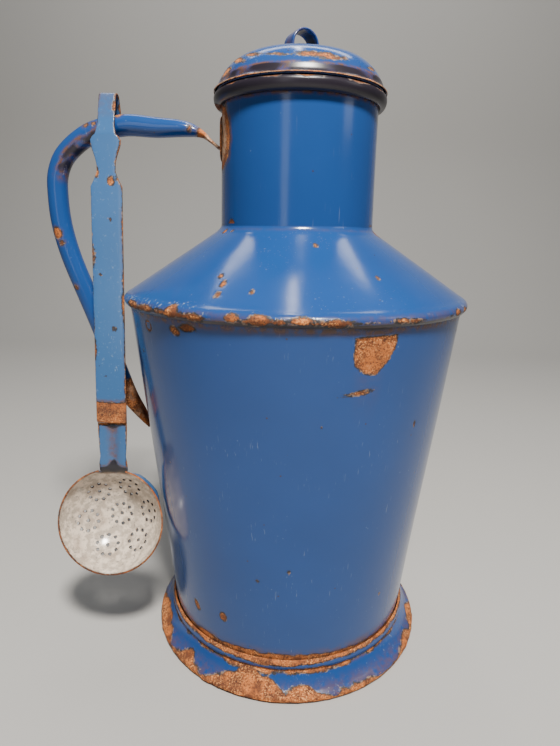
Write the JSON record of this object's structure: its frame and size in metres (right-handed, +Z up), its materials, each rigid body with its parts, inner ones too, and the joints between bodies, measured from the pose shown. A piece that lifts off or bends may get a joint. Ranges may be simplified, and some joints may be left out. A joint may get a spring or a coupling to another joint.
{
  "type": "lidded carrying can",
  "caption": "Tall tapered enamelled can with a sloping shoulder, narrow neck, lift-off domed lid, bowed tube handle, flared foot, and a perforated skimmer hooked over the handle.",
  "frame": {"origin": "the middle of the footprint's box on the floor, so that the can's own axis is 30.4 mm to its +X side", "axes": "+Z up along the can's axis, the handle towards -X, the skimmer's bowl faces -Y"},
  "size_m": [0.3208, 0.26, 0.467],
  "materials": {
    "blue_enamel": "glossy fired enamel, chipped to rusty steel along its edges",
    "strap_enamel": "paler, duller fired enamel with rusty edges",
    "pale_enamel": "speckled grey-white fired enamel",
    "wire_steel": "bare wire inside a curled edge",
    "rusted_steel": "bare sheet steel, rusted and rough"
  },
  "bodies": {
    "can": {"body_wall": "blue_enamel", "bottom_plate": "pale_enamel", "foot_ring": "blue_enamel", "foot_wire": "wire_steel", "shoulder_cone": "blue_enamel", "neck_tube": "blue_enamel", "mouth_wire": "wire_steel", "handle_tube": "blue_enamel", "handle_upper_pad": "rusted_steel", "handle_lower_pad": "rusted_steel"},
    "lid": {"lid_dome": "blue_enamel", "lid_collar": "blue_enamel", "lid_strap": "blue_enamel"},
    "skimmer": {"skimmer_strap": "strap_enamel", "skimmer_bowl": "pale_enamel"}
  },
  "joints": [
    {"name": "lid_lift", "type": "slide", "parent": "can", "child": "lid", "axis": [0, 0, 1], "range_m": [0, 0.08]},
    {"name": "skimmer_swing", "type": "hinge", "parent": "can", "child": "skimmer", "pos_m": [-0.10912, 0, 0.4018], "axis": [1, 0, 0], "range_deg": [-75, 0]}
  ]
}
